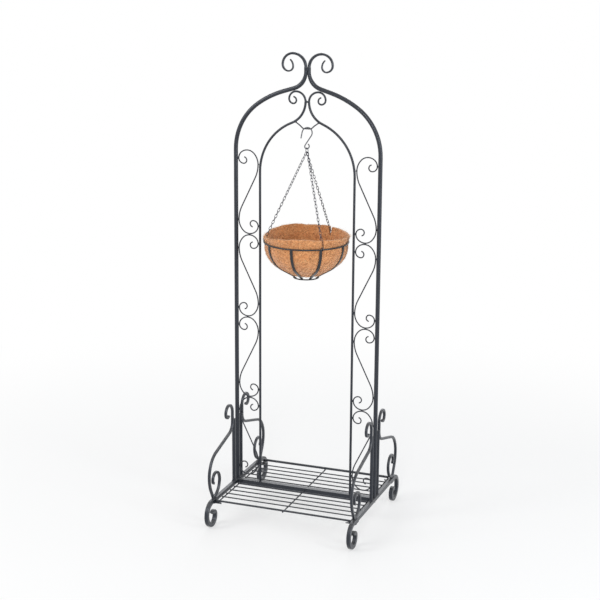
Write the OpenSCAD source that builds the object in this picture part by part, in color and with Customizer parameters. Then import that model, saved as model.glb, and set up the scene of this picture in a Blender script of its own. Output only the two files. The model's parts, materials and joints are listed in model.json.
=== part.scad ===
// Hanging plant stand: a scrolled double arch over a low wire shelf, with a wire basket hung from its top.
// Origin on the floor under the middle of the stand. X is the width, Y the depth (front is -Y), Z is up.

/* [Arch] */
// Distance between the centres of the two outer posts
outer_span = 530; // [500:1:600]
// Distance between the centres of the two inner posts
inner_span = 348; // [320:1:380]
// Outer tube diameter
outer_d = 15; // [14:0.5:16]
// Wall of the outer tube
outer_wall = 1.2; // [0.8:0.1:2]
// Inner rod diameter
inner_d = 8.5; // [8:0.5:10]
// Height where the outer posts start to bend
outer_spring_z = 1323; // [1300:1:1330]
// Turn of the outer shoulder
outer_shoulder_turn = 55; // [50:1:60]
// Radius of the flatter stretch above the outer shoulder
outer_crown_r = 335; // [280:5:360]
// Slope of the outer arch at its middle run, from the vertical
outer_turn = 73; // [70:1:76]
// Length of that run
outer_run = 41; // [20:1:60]
// Radius of the outer neck, where the arch turns up to the finial
outer_neck_r = 58; // [54:1:66]
// Slope of the inner arch at its middle run, from the vertical
inner_turn = 67; // [64:1:69]
// Length of that run
inner_run = 3.5; // [2:0.5:20]
// Radius of the inner neck
inner_neck_r = 80; // [72:1:88]
// Straight length where the two outer halves lie together
outer_contact = 16; // [12:1:24]
// Radius of the finial's first bend, which sets its curl
finial_r = 46; // [42:1:48]
// Diameter to which each outer half is drawn down where the two lie together
contact_d = 12; // [11:0.5:13]
// Thickness of the flattened finial scrolls at their tips
finial_t = 4.5; // [4:0.5:5.5]
// Width of the flattened finial scrolls at their tips
finial_w = 8; // [7:0.5:9]
// Gap between the two inner halves where they come closest, filled by a weld
inner_gap = 4; // [2:0.5:6]
// Radius of the inner scroll's first bend, which sets its curl
inner_scroll_r = 34; // [28:1:36]
// Rod diameter of the inner scrolls at their tips
inner_scroll_d = 5.5; // [5:0.5:6]
// Diameter of the weld beads between the two halves
weld_d = 4; // [3:0.5:5]

/* [Side scrolls] */
// Wire diameter of the side scrolls
scroll_d = 4.5; // [3:0.5:5]
// Height of the panel's lower end above the floor
panel_z = 117; // [110:1:120]
// Gap between a scroll and a post, filled by a weld tab
tab_gap = 1; // [0.8:0.1:3]
// Diameter of the weld tabs
tab_d = 5; // [4:0.5:6]

/* [Hanger and hook] */
// Hanger wire diameter
hanger_d = 4.5; // [4:0.5:6]
// How far the hanger wire's middle lies below the top of the inner arch's necks
hanger_drop = 92; // [88:1:96]
// Length of the level middle of the hanger wire
hanger_flat = 20; // [16:1:24]
// Radius of the hanger wire's lower bends
hanger_r = 12; // [10:0.5:13]
// Wire diameter of the hook
hook_d = 4; // [3:0.5:5]
// Radius of the hook's big loop
hook_r = 19; // [16:1:21]
// Radius of the hook's small eye
eye_r = 8.5; // [8:0.5:10]
// Length of the hook's free end
hook_tail = 22; // [16:1:24]
// Height from the middle of the big loop to the middle of the eye
hook_drop = 46; // [42:1:50]
// Turn of the hook's plane about the vertical
hook_turn = 45; // [30:5:60]

/* [Basket] */
// Room between the basket's top ring and the middle of an inner post
basket_room = 23.5; // [21:0.5:34]
// Height of the basket's top ring
ring_z = 1013; // [1000:1:1020]
// Wire diameter of the top ring
ring_d = 5.5; // [5:0.5:7]
// Number of ribs, a multiple of three
rib_count = 9; // [9:3:12]
// Rib width
rib_w = 10; // [7:0.5:11]
// Rib thickness
rib_t = 2.5; // [2:0.25:3]
// Radius of the rib's upper bend
rib_bend_r = 105; // [95:1:108]
// Turn of the rib's upper bend
rib_turn = 60; // [56:1:62]
// Diameter of the base ring at its wire's centre
base_ring_d = 88; // [80:1:96]
// Wire diameter of the base ring
base_wire_d = 4.5; // [4:0.5:6]
// Thickness of the liner
liner_t = 9; // [7:0.5:12]
// How far the liner's flat floor reaches past the middle of the base ring's wire
liner_lip = 8; // [2:1:16]
// Height of the liner's collar above the top ring
collar_h = 34; // [25:1:40]
// How far the collar leans out
collar_flare = 7; // [3:1:9]

/* [Chains] */
// Wire diameter of the chain links
link_wire = 2; // [1.6:0.1:2.4]
// Spacing of the chain links, rounded to fit a whole number
link_pitch = 11.6; // [11:0.1:13]
// Inside width of a chain link
link_gap = 5; // [4.6:0.1:6]
// Diameter of the ring that gathers the chains, at its wire's centre
gather_d = 18; // [16:0.5:22]
// Wire diameter of the gathering ring
gather_wire = 2.5; // [2:0.25:3]
// Spacing of the top links along the gathering ring
top_link_step = 5; // [4.5:0.25:5.5]
// Diameter of the ring at a chain's lower end, at its wire's centre
end_ring_d = 12; // [11:0.5:16]

/* [Base] */
// Side rail size, square tube
rail_s = 14; // [12:0.5:16]
// Wall of the square tubes
tube_wall = 1.2; // [0.8:0.1:2]
// Height of the side rail's centre above the floor
rail_z = 91; // [88:1:95]
// Distance from the middle of a side rail to the bend of its foot
rail_reach = 236; // [230:1:240]
// Radius of the foot's inner bend
foot_r = 28; // [24:1:32]
// Radius of the foot's curl
foot_curl_r = 16; // [14:1:20]
// Crossbar size, square tube
crossbar_s = 21; // [17:0.5:24]
// Upright tube diameter
upright_d = 12; // [10:0.5:13]
// Distance of the uprights from the post's centre
upright_y = 34; // [32:1:38]
// Height of the uprights' tops
upright_top_z = 340; // [330:1:345]
// Size of the square bar of the braces and rail scrolls
bar_s = 9; // [8:0.5:10]
// Height where a brace bends away from its upright
brace_z = 334; // [326:1:338]
// Slope of a brace's long run
brace_slope = 15; // [13:1:17]
// Radius of the brace's upper bend
brace_upper_r = 40; // [35:1:45]
// Radius of the brace's outer bend
brace_r = 80; // [70:1:84]
// How far the brace's widest point lies beyond the start of the foot's bend
brace_out = 18; // [12:1:22]
// Radius of a brace's lower bend
brace_foot_r = 106; // [98:1:112]
// Radius of the first bend of a brace's scroll, which sets its curl
brace_curl_r = 34; // [30:1:38]
// Height of the top of a small rail scroll above its rail
rail_scroll_h = 96; // [90:1:100]
// Radius of a small rail scroll's curl
rail_curl_r = 24; // [20:1:26]

/* [Shelf] */
// Slat wire diameter
slat_d = 4.5; // [4:0.5:6]
// Distance of the first slat from the middle
slat_first = 33; // [28:1:36]
// Spacing of the slats
slat_pitch = 35.5; // [30:0.5:36]
// Number of slats in each half
slat_count = 5; // [3:1:5]
// Front rail diameter
front_rail_d = 7; // [5:0.5:8]
// Rear rail diameter
rear_rail_d = 9; // [6:0.5:10]
// Distance of the front and rear rails from the start of the feet's bends
shelf_inset = 15; // [12:1:21]
// Gap between the shelf's side bars and the side rails
side_bar_gap = 7.5; // [5:0.5:10]
// Side bar and middle bar diameter
side_bar_d = 5; // [4:0.5:6]
// Thickness of the shelf's corner plates
plate_t = 2.5; // [2:0.25:4]
// Leg of the corner plates
corner_leg = 30; // [24:1:40]

/* [Fasteners] */
// Bolt shank diameter
bolt_d = 6; // [5:0.5:6.5]
// Clearance of a bolt in its hole, on the radius
bolt_play = 0.2; // [0.1:0.05:0.3]
// Bolt head size across flats
bolt_flats = 10; // [9:0.5:12]
// Bolt head height
bolt_head_h = 4; // [3:0.5:5]
// Thickness of the solid plug in a tube's end
plug_h = 14; // [12:1:20]

/* [Hidden] */
$fn = 48;
// Slimming of a bar's section, set for every second stretch of a bent bar
$slim = 0;
// Gap left between pieces that touch on the real stand
seat = 0.1;
// Gap left between pieces that move on each other
free = 0.35;
// How far a slimmer stretch of a bar runs into the next one, and how much slimmer it is on the radius
lap = 0.3;
slim = 0.05;

STEEL = [0.17, 0.175, 0.19];
BRIGHT = [0.45, 0.46, 0.48];
COIR = [0.72, 0.45, 0.27];

post_x = outer_span / 2;
inner_x = inner_span / 2;
basket_d = inner_span - 2 * basket_room;
rail_top = rail_z + rail_s / 2;
rail_bottom = rail_z - rail_s / 2;
crossbar_z = rail_top - crossbar_s / 2;

// ---------------------------------------------------------------- bent bars
// A bar's path is a list of moves. [length, 0] runs straight, [radius, turn] bends, left where turn > 0.
// A pose is [across, up, heading] in the plane of the bend.
function after(p, m) = m[1] == 0
    ? [p[0] + m[0] * cos(p[2]), p[1] + m[0] * sin(p[2]), p[2]]
    : let (s = sign(m[1]), cx = p[0] - s * m[0] * sin(p[2]), cy = p[1] + s * m[0] * cos(p[2]), h = p[2] + m[1])
        [cx + s * m[0] * sin(h), cy - s * m[0] * cos(h), h];
function pose_at(p, moves, i) = i == 0 ? p : after(pose_at(p, moves, i - 1), moves[i - 1]);
function pose_end(p, moves) = pose_at(p, moves, len(moves));

// Sweeps a flat profile along a path. The profile's X lies in the plane of the bend.
// Every second stretch is a hair slimmer and runs into its neighbours, so that the bar is one solid.
module bent(start, moves, slim_first = false) {
    for (i = [0 : len(moves) - 1]) {
        m = moves[i];
        p = pose_at(start, moves, i);
        thin = (i + (slim_first ? 1 : 0)) % 2 == 1;
        $slim = thin ? slim : 0;
        head = thin ? lap : 0;
        tail = thin && i < len(moves) - 1 ? lap : 0;
        stretch(p, m, head, tail) children();
    }
}
// Sweeps a flat profile that gets slimmer all the way. Each stretch runs into the thicker one before it.
// $done tells the profile which share of the way is done.
module tapered(start, moves) {
    for (i = [0 : len(moves) - 1]) {
        $done = (i + 1) / len(moves);
        stretch(pose_at(start, moves, i), moves[i], lap, 0) children();
    }
}
// One move of a path, made longer at its head and its tail
module stretch(p, m, head, tail) {
    translate([p[0], p[1], 0]) rotate(p[2]) {
        if (m[1] == 0)
            translate([-head, 0, 0]) rotate([90, 0, 90]) linear_extrude(height = m[0] + head + tail) children();
        else
            mirror([0, m[1] < 0 ? 1 : 0, 0]) translate([0, m[0], 0]) rotate(-90 - degrees_of(head, m[0]))
                rotate_extrude(angle = abs(m[1]) + degrees_of(head + tail, m[0]))
                    translate([m[0], 0]) children();
    }
}
function degrees_of(length, radius) = length / radius * 180 / PI;
// Cuts each move of a path into n equal ones
function divided(moves, n) = [for (m = moves, k = [1 : n]) m[1] == 0 ? [m[0] / n, 0] : [m[0], m[1] / n]];
// Stands the plane of a bend up as the XZ plane (arch) or the YZ plane (side frame)
module in_xz() { rotate([90, 0, 0]) children(); }
module in_yz() { rotate([90, 0, 90]) children(); }
module flip_x(on) { mirror([on ? 1 : 0, 0, 0]) children(); }
module flip_y(on) { mirror([0, on ? 1 : 0, 0]) children(); }
// A place in each corner of the stand, and on each side of it
module on_sides() { for (left = [false, true]) flip_x(left) children(); }
module on_corners() { for (front = [false, true]) on_sides() flip_y(front) children(); }

module round_bar(d) { circle(d = d - 2 * $slim); }
module round_tube(d, wall) {
    difference() {
        circle(d = d - 2 * $slim);
        circle(d = d - 2 * wall + 2 * $slim);
    }
}
// Square or flat section with chamfered corners
module flat_bar(w, h, c = 1) {
    a = w / 2 - $slim;
    b = h / 2 - $slim;
    polygon([[c - a, -b], [a - c, -b], [a, c - b], [a, b - c], [a - c, b], [c - a, b], [-a, b - c], [-a, c - b]]);
}
module square_tube(s, wall) {
    difference() {
        flat_bar(s, s);
        square(s - 2 * wall + 2 * $slim, center = true);
    }
}

// ---------------------------------------------------------------- arch
// The shoulders take the radius that brings each half arch from its post to the middle
outer_shoulder_r = (post_x - contact_d / 2 - seat - outer_run * sin(outer_turn)
    - outer_crown_r * (cos(outer_shoulder_turn) - cos(outer_turn)) - outer_neck_r * (1 - cos(outer_turn)))
    / (1 - cos(outer_shoulder_turn));
inner_shoulder_r = (inner_x - inner_d / 2 - inner_gap / 2 - inner_run * sin(inner_turn)) / (1 - cos(inner_turn))
    - inner_neck_r;
outer_start = [post_x, rail_top + seat + plug_h, 90];
// The tube's end is filled and drawn down over the last part of the neck, this far round it
drawn_turn = 36;
outer_moves = [
    [outer_spring_z - outer_start[1], 0], [outer_shoulder_r, outer_shoulder_turn],
    [outer_crown_r, outer_turn - outer_shoulder_turn], [outer_run, 0], [outer_neck_r, drawn_turn - outer_turn]
];
drawn_start = pose_end(outer_start, outer_moves);
drawn_moves = divided([[outer_neck_r, -drawn_turn]], 6);
outer_top = pose_end(drawn_start, drawn_moves);
// Above the contact it is beaten flatter and flatter into the scrolled finial
finial_start = [outer_top[0], outer_top[1] + outer_contact, 90];
finial_moves = divided([[finial_r, -90], [finial_r * 0.83, -90], [finial_r * 0.48, -90],
    [finial_r * 0.35, -90], [finial_r * 0.65, -50]], 3);
// Share of the inner rod's diameter that its scroll starts with, and the radii of the scroll's bends, inwards
scroll_root = 0.9;
inner_curl = [1, 0.765, 0.456, 0.324, 0.368] * inner_scroll_r;
// The inner arch's height follows the outer one's, so that its scrolls' second bends meet the outer necks
arches_across = outer_top[0] + outer_neck_r - inner_d / 2 - inner_gap / 2 - inner_curl[0];
arches_apart = inner_curl[1] + outer_neck_r + outer_d / 2 + scroll_root * inner_d / 2 + seat;
inner_top_z = outer_top[1] - sqrt(pow(arches_apart, 2) - pow(arches_across, 2)) - inner_curl[0] + inner_curl[1];
inner_spring_z = inner_top_z - (inner_shoulder_r + inner_neck_r) * sin(inner_turn) - inner_run * cos(inner_turn);
inner_start = [inner_x, rail_top + seat, 90];
inner_moves = [
    [inner_spring_z - inner_start[1], 0], [inner_shoulder_r, inner_turn], [inner_run, 0],
    [inner_neck_r, -inner_turn]
];
inner_top = pose_end(inner_start, inner_moves);
inner_scroll_moves = divided([[inner_curl[0], -90], [inner_curl[1], -90], [inner_curl[2], -90],
    [inner_curl[3], -90], [inner_curl[4], -80]], 2);

module outer_arch(left) {
    color(STEEL) flip_x(left) {
        // lower end: a solid plug that takes the bolt through the side rail
        translate([post_x, 0, rail_top + seat]) difference() {
            cylinder(d = outer_d - 2 * slim, h = plug_h + lap);
            translate([0, 0, -1]) cylinder(d = bolt_d + 2 * bolt_play, h = plug_h);
        }
        in_xz() {
            bent(outer_start, outer_moves) round_tube(outer_d, outer_wall);
            tapered(drawn_start, drawn_moves) circle(d = outer_d + (contact_d - outer_d) * $done);
            stretch(outer_top, [outer_contact, 0], lap, 0) circle(d = contact_d - 2 * slim);
            tapered(finial_start, finial_moves) finial_section();
        }
    }
}
// A chamfered section that starts within the drawn tube's round one
module finial_section() {
    left = 1 - $done;
    t = finial_t + (0.86 * contact_d - finial_t) * left * (0.35 + 0.65 * left);
    flat_bar(t, finial_w + (0.9 * contact_d - finial_w) * left, 0.28 * t);
}
module inner_arch(left) {
    color(STEEL) flip_x(left) in_xz() {
        bent(inner_start, inner_moves) round_bar(inner_d);
        tapered(inner_top, inner_scroll_moves)
            circle(d = inner_scroll_d + (scroll_root * inner_d - inner_scroll_d) * (1 - $done));
    }
}
// Beads in the front and rear grooves of the two outer halves, and a plug between the two inner halves
module arch_welds() {
    r = contact_d / 2 + seat;
    groove = sqrt(pow(r + weld_d / 2, 2) - r * r);
    color(STEEL) {
        for (y = [-groove, groove]) translate([0, y, outer_top[1] + outer_contact / 4])
            cylinder(d = weld_d, h = outer_contact / 2);
        translate([0, 0, inner_top[1]]) rotate([0, 90, 0])
            cylinder(d = weld_d, h = inner_gap - 2 * seat, center = true);
    }
}

// ---------------------------------------------------------------- side scrolls
// The panel fills the space between the faces of an outer and an inner post, up to the outer one's bend
scroll_count = 4;
scroll_pitch = (outer_spring_z - panel_z) / scroll_count;
panel_in = inner_x + inner_d / 2;
panel_out = post_x - outer_d / 2;
panel_x = (panel_in + panel_out) / 2;
scroll_w = panel_out - panel_in - 2 * tab_gap - scroll_d;
scroll_h = scroll_pitch - scroll_d - 2 * seat;
// Radii of the curl from its widest point inwards, as the scroll's width sets them
curl = [0.755, 0.473, 0.373, 0.253, 0.16, 0.153] * scroll_w;
// Height of the widest points above the scroll's middle, on the broad side and on the curl's side
broad_h = scroll_h / 2 - curl[1] - (curl[0] - curl[1]) * sin(45);
curl_h = broad_h + (curl[0] - curl[2]) * sin(45);
// Radius of the long bend beside the middle run, and that run's lean and length
scroll_bend = 0.85 * (2 * broad_h - scroll_w);
scroll_lean = asin(2 * scroll_bend / norm([2 * broad_h, 2 * scroll_bend - scroll_w]))
    - atan2(2 * scroll_bend - scroll_w, 2 * broad_h);
scroll_run = (scroll_w - 2 * scroll_bend * (1 - cos(scroll_lean))) / sin(scroll_lean);
half_scroll = [
    [scroll_run / 2, 0], [scroll_bend, -scroll_lean], [curl[0], -45], [curl[1], -90], [curl[2], -45],
    [curl[3], -90], [curl[4], -90], [curl[5], -80]
];
function scroll_middle_z(i) = panel_z + (scroll_count - i + 0.5) * scroll_pitch;
// Puts a scroll in its place, counted from the top. Every second one is turned over.
module at_scroll(left, i) {
    flip_x(left) translate([panel_x, 0, scroll_middle_z(i)]) mirror([0, 0, i % 2 == 0 ? 1 : 0]) children();
}
module scroll(left, i) {
    color(STEEL) at_scroll(left, i) in_xz() {
        bent([0, 0, 90 + scroll_lean], half_scroll) round_bar(scroll_d);
        rotate(180) bent([0, 0, 90 + scroll_lean], half_scroll, true) round_bar(scroll_d);
    }
}
module scroll_tabs() {
    places = [[-1, broad_h], [1, curl_h], [1, -broad_h], [-1, -curl_h]];
    color(STEEL) for (left = [false, true], i = [1 : scroll_count], place = places) at_scroll(left, i)
        translate([place[0] * (scroll_w + scroll_d + tab_gap) / 2, 0, place[1]]) rotate([0, 90, 0])
            cylinder(d = tab_d, h = tab_gap - 2 * seat, center = true);
}

// ---------------------------------------------------------------- hanger and hook
hanger_z = inner_top[1] - hanger_drop;
hanger_bends = [[hanger_flat / 2, 0], [hanger_r, 43], [hanger_r * 0.8, 0], [hanger_r * 1.2, -8]];
hanger_knee = pose_end([0, hanger_z, 0], hanger_bends);
// Length of a straight run from pose p to the circle of radius r about c
function run_to_circle(p, c, r) =
    let (w = [p[0], p[1]] - c, b = w * [cos(p[2]), sin(p[2])]) -b - sqrt(b * b - w * w + r * r);
hanger_end = run_to_circle(hanger_knee, [inner_top[0] + inner_neck_r, inner_top[1]], inner_neck_r);
module hanger_wire() {
    color(STEEL) difference() {
        on_sides() in_xz()
            bent([-lap, hanger_z, 0], concat([[hanger_flat / 2 + lap, 0]], [for (i = [1 : 3]) hanger_bends[i]],
                [[hanger_end, 0]])) round_bar(hanger_d);
        // each end is trimmed to the arch that it is welded to
        on_sides() in_xz()
            bent(pose_at(inner_start, inner_moves, 1), [for (i = [1 : 3]) inner_moves[i]])
                round_bar(inner_d + 2 * seat);
    }
}

hook_top_z = hanger_z + hanger_d / 2 + free + hook_d / 2;
eye_z = hook_top_z - hook_r - hook_drop;
hook_lean = asin((hook_r + eye_r) / hook_drop);
hook_run = sqrt(pow(hook_drop, 2) - pow(hook_r + eye_r, 2));
module s_hook() {
    color(STEEL) rotate(hook_turn) in_xz() {
        bent([0, hook_top_z, 0], [[hook_r, -90 - hook_lean], [hook_run, 0], [eye_r, 240 + hook_lean]])
            round_bar(hook_d);
        bent([0, hook_top_z, 180], [[hook_r, 78], [hook_tail, 0]], true) round_bar(hook_d);
    }
}

// ---------------------------------------------------------------- chains
gather_top_z = eye_z - eye_r + hook_d / 2 + free + gather_wire / 2;
chain_top_z = gather_top_z - gather_d;
module gather_ring() {
    color(BRIGHT) translate([0, 0, gather_top_z - gather_d / 2]) rotate(hook_turn) rotate([0, 90, 0])
        rotate_extrude() translate([gather_d / 2, 0]) circle(d = gather_wire);
}
ring_r = (basket_d - ring_d) / 2;
first_rib = 30;
// Each chain hangs beside a rib
chain_offset = asin((rib_w / 2 + link_wire / 2 + 1) / ring_r);
chain_front_az = first_rib + 280 + chain_offset;
chain_left_az = first_rib + 160 + chain_offset;
chain_right_az = first_rib + 40 + chain_offset;

// A link stands along Z, about its own middle, flat in the XZ plane
module link(inside) {
    half = (inside - link_gap) / 2;
    bow = (link_gap + link_wire) / 2;
    for (up = [1, -1]) translate([0, 0, up * half]) rotate([up * 90, 0, 0])
        rotate_extrude(angle = 180) translate([bow, 0]) circle(d = link_wire);
    for (x = [-bow, bow]) translate([x, 0, 0])
        cylinder(d = link_wire - 2 * slim, h = 2 * half + 2 * lap, center = true);
}
// Brings an angle to within 90 degrees of zero, as a flat link looks the same after half a turn
function half_turn(a) = a - 180 * round(a / 180);
// A chain from the gathering ring to the basket's ring. step is its place along the gathering ring.
module chain(azimuth, step) {
    along = hook_turn + 90;
    a = step * top_link_step;
    rise = gather_d / 2 - sqrt(pow(gather_d / 2, 2) - a * a);
    top = [a * cos(along), a * sin(along), chain_top_z + rise];
    way = [ring_r * cos(azimuth), ring_r * sin(azimuth), ring_z] - top;
    full = norm(way);
    turn = atan2(way[1], way[0]);
    // the top link's upper inside lies on the gathering ring, the last link's lower inside in the end ring
    first = gather_wire / 2 + free;
    end_ring_z = -full + end_ring_d / 2 - link_wire / 2 - ring_d / 2 - seat;
    last = end_ring_z + end_ring_d / 2 - link_wire / 2 - seat;
    count = round((first - last) / link_pitch);
    pitch = (first - last) / count;
    // the top link stands across the gathering ring and the last one across the end ring
    spin = along - turn - 90;
    twist = half_turn(90 - spin - 90 * (count - 1)) / (count - 1);
    color(BRIGHT) translate(top) rotate([0, 0, turn]) rotate([0, -acos(-way[2] / full), 0]) {
        for (i = [0 : count - 1])
            translate([0, 0, first - (i + 0.5) * pitch]) rotate(spin + i * (90 + twist)) link(pitch + seat);
        translate([0, 0, end_ring_z]) rotate([90, 0, 0])
            rotate_extrude() translate([end_ring_d / 2, 0]) circle(d = link_wire);
    }
}

// ---------------------------------------------------------------- basket
rib_start = [ring_r, ring_z - ring_d / 2 - seat, -90];
rib_knee = pose_end(rib_start, [[rib_bend_r, -rib_turn]]);
base_r = base_ring_d / 2;
rib_run = (rib_knee[0] - base_r + base_wire_d / 2) / sin(rib_turn);
// Height of the rib's middle line over its straight run, at radius r
function rib_line(r) = rib_knee[1] - (rib_knee[0] - r) / tan(rib_turn);
base_gap = rib_t / 2 + base_wire_d / 2 + seat;
base_ring_z = rib_line(base_r - base_gap * cos(rib_turn)) - base_gap * sin(rib_turn);

module basket_ring() {
    color(STEEL) translate([0, 0, ring_z]) rotate_extrude() translate([ring_r, 0]) circle(d = ring_d);
}
module basket_base_ring() {
    color(STEEL) translate([0, 0, base_ring_z]) rotate_extrude() translate([base_r, 0]) circle(d = base_wire_d);
}
module basket_ribs() {
    color(STEEL) for (i = [0 : rib_count - 1]) rotate(first_rib + i * 360 / rib_count)
        in_xz() bent(rib_start, [[rib_bend_r, -rib_turn], [rib_run, 0]]) flat_bar(rib_t, rib_w, 0.5);
}

// The liner lies inside the ribs and the ring. Its faces are the ribs' line moved in by this gap and more.
liner_gap = 0.3;
liner_floor_z = rib_line(base_r + liner_lip) + (rib_t / 2 + liner_gap) / sin(rib_turn);
function liner_face(inset) =
    let (
        d = rib_t / 2 + liner_gap + inset,
        floor_z = liner_floor_z + inset,
        floor_r = rib_knee[0] - (rib_knee[1] - floor_z + d / sin(rib_turn)) * tan(rib_turn),
        wall_r = ring_r - ring_d / 2 - liner_gap - inset,
        rim_z = ring_z + ring_d / 2
    )
    concat(
        [[0, floor_z], [floor_r, floor_z]],
        [for (a = [rib_turn : -rib_turn / 6 : rib_turn / 6])
            [min(ring_r - rib_bend_r + (rib_bend_r - d) * cos(a), wall_r), rib_start[1] - (rib_bend_r - d) * sin(a)]],
        [[wall_r, rim_z], [wall_r + collar_flare * 0.7, (rim_z + ring_z + collar_h) / 2],
            [wall_r + collar_flare, ring_z + collar_h]]
    );
module coir_liner() {
    outside = liner_face(0);
    inside = liner_face(liner_t);
    slot_w = link_gap + 2 * link_wire + 1.5;
    slot_h = collar_h + end_ring_d;
    color(COIR) difference() {
        rotate_extrude() polygon(concat(outside, [for (i = [len(inside) - 1 : -1 : 0]) inside[i]]));
        // slots in the collar let the chains through
        for (az = [chain_front_az, chain_left_az, chain_right_az]) rotate(az)
            translate([ring_r - 2 * liner_t, -slot_w / 2, ring_z - end_ring_d / 2 - 1])
                cube([4 * liner_t, slot_w, slot_h]);
    }
}

// ---------------------------------------------------------------- base
// Each foot's bend is cut flat where it stands
foot_flat = 0.4;
foot_bend_r = (rail_bottom + foot_flat) / 2;
rail_moves = [
    [rail_reach, 0], [foot_bend_r, -180], [foot_r, -90], [foot_curl_r, -90], [foot_curl_r * 0.75, -50]
];
shelf_rail_y = rail_reach - shelf_inset;
corner_bolt_y = shelf_rail_y - corner_leg / 3;
module side_rail(left) {
    hole_d = bolt_d + 2 * bolt_play;
    color(STEEL) flip_x(left) translate([post_x, 0, 0]) difference() {
        for (rear = [false, true]) flip_y(!rear)
            in_yz() bent([rear ? 0 : -lap, rail_z, 0], [for (i = [0 : 4])
                i == 0 ? [rail_moves[0][0] + (rear ? 0 : lap), 0] : rail_moves[i]])
                    square_tube(rail_s, tube_wall);
        translate([0, 0, rail_z]) cylinder(d = hole_d, h = 2 * rail_s, center = true);
        for (y = [-corner_bolt_y, corner_bolt_y])
            translate([0, y, rail_bottom]) cylinder(d = hole_d, h = rail_s, center = true);
        for (y = [-rail_reach, rail_reach]) translate([0, y, -rail_s]) cube(2 * rail_s, center = true);
    }
}
module crossbar() {
    length = outer_span - rail_s - 2 * seat;
    bore = crossbar_s - 2 * tube_wall;
    color(STEEL) translate([0, 0, crossbar_z]) rotate([90, 0, 90]) difference() {
        linear_extrude(height = length, center = true) flat_bar(crossbar_s, crossbar_s);
        cube([bore, bore, length - 2 * tube_wall], center = true);
    }
}
module upright(left, rear) {
    height = upright_top_z - rail_top - seat;
    color(STEEL) flip_x(left) flip_y(!rear) translate([post_x, upright_y, rail_top + seat]) difference() {
        cylinder(d = upright_d, h = height);
        translate([0, 0, -1]) cylinder(d = upright_d - 2 * outer_wall, h = height - outer_wall + 1);
    }
}

// The brace's scroll stands beside the upright, and its lower run ends on the side rail
brace_y = upright_y + upright_d / 2 + bar_s / 2 + seat;
brace_reach = rail_reach + brace_out;
brace_scroll = [[brace_curl_r, 0], [brace_curl_r, -90], [brace_curl_r * 0.765, -90], [brace_curl_r * 0.5, -90],
    [brace_curl_r * 0.324, -60]];
brace_run = (brace_reach - brace_y - (brace_upper_r + brace_r) * (1 - sin(brace_slope))) / cos(brace_slope);
brace_bends = [[brace_upper_r, 90 - brace_slope], [brace_run, 0], [brace_r, brace_slope - 90],
    [brace_foot_r, -30]];
brace_knee = pose_end([brace_y, brace_z, -90], brace_bends);
brace_leg = (brace_knee[1] - rail_top - seat - bar_s / 2 * sin(30)) / cos(30);
brace_foot_y = brace_knee[0] - brace_leg * sin(30);
module brace(left, rear) {
    color(STEEL) flip_x(left) flip_y(!rear) translate([post_x, 0, 0]) in_yz() {
        bent([brace_y, brace_z, 90], brace_scroll) flat_bar(bar_s, bar_s);
        bent([brace_y, brace_z, -90], concat(brace_bends, [[brace_leg, 0]]), true) flat_bar(bar_s, bar_s);
    }
}
// The small scroll rises from the rail just inside the brace's foot
rail_scroll_y = brace_foot_y - bar_s / 2 * cos(30) - seat;
rail_scroll_rise = (rail_scroll_h - bar_s) * 0.6;
rail_scroll_top = rail_scroll_h - bar_s - rail_scroll_rise;
module rail_scroll(left, rear) {
    color(STEEL) flip_x(left) flip_y(!rear) translate([post_x, 0, 0]) in_yz()
        bent([rail_scroll_y, rail_top + seat + bar_s / 2, 180],
            [[rail_scroll_rise, -90], [rail_scroll_top, -90], [rail_curl_r, -90], [rail_curl_r / 2, -70]])
                flat_bar(bar_s, bar_s);
}

// ---------------------------------------------------------------- shelf
side_bar_x = post_x - rail_s / 2 - side_bar_gap - side_bar_d / 2;
side_bar_z = rail_bottom + side_bar_d / 2;
// The slats and the two long rails rest on the side bars
deck_z = rail_bottom + side_bar_d + seat;
module long_bar(y, d) {
    translate([0, y, deck_z + d / 2]) rotate([0, 90, 0])
        cylinder(d = d, h = 2 * side_bar_x + side_bar_d, center = true);
}
module shelf_front_rail() { color(STEEL) long_bar(-shelf_rail_y, front_rail_d); }
module shelf_rear_rail() { color(STEEL) long_bar(shelf_rail_y, rear_rail_d); }
module shelf_slats(side) {
    color(STEEL) for (i = [0 : slat_count - 1]) long_bar(side * (slat_first + i * slat_pitch), slat_d);
}
// A bar of the shelf's frame in its front half and in its rear half, each from the crossbar outwards
module cross_bars(x) {
    near = crossbar_s / 2 + seat;
    for (front = [false, true]) flip_y(front)
        translate([x, near, side_bar_z]) rotate([-90, 0, 0]) cylinder(d = side_bar_d, h = shelf_rail_y - near);
}
module shelf_side_bars(left) { color(STEEL) cross_bars(left ? -side_bar_x : side_bar_x); }
module shelf_middle_bars() { color(STEEL) cross_bars(0); }
module corner_plates() {
    out = post_x + rail_s / 2;
    near = shelf_rail_y - corner_leg;
    color(STEEL) on_corners() difference() {
        translate([0, 0, rail_bottom - seat - plate_t]) linear_extrude(height = plate_t)
            polygon([[side_bar_x - corner_leg / 2, shelf_rail_y], [out, shelf_rail_y], [out, near], [side_bar_x, near]]);
        translate([post_x, corner_bolt_y, rail_bottom])
            cylinder(d = bolt_d + 2 * bolt_play, h = rail_s, center = true);
    }
}

// ---------------------------------------------------------------- fasteners
// A hexagon bolt that goes up, its head's seat at z = 0
module bolt(length) {
    cylinder(d = bolt_d, h = length);
    translate([0, 0, -bolt_head_h]) cylinder(d = bolt_flats / cos(30), h = bolt_head_h, $fn = 6);
}
module post_bolts() {
    color(BRIGHT) on_sides() translate([post_x, 0, rail_bottom - seat]) bolt(rail_s + plug_h - 4);
}
module corner_bolts() {
    color(BRIGHT) on_corners() translate([post_x, corner_bolt_y, rail_bottom - 2 * seat - plate_t]) bolt(plate_t + 6);
}

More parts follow.
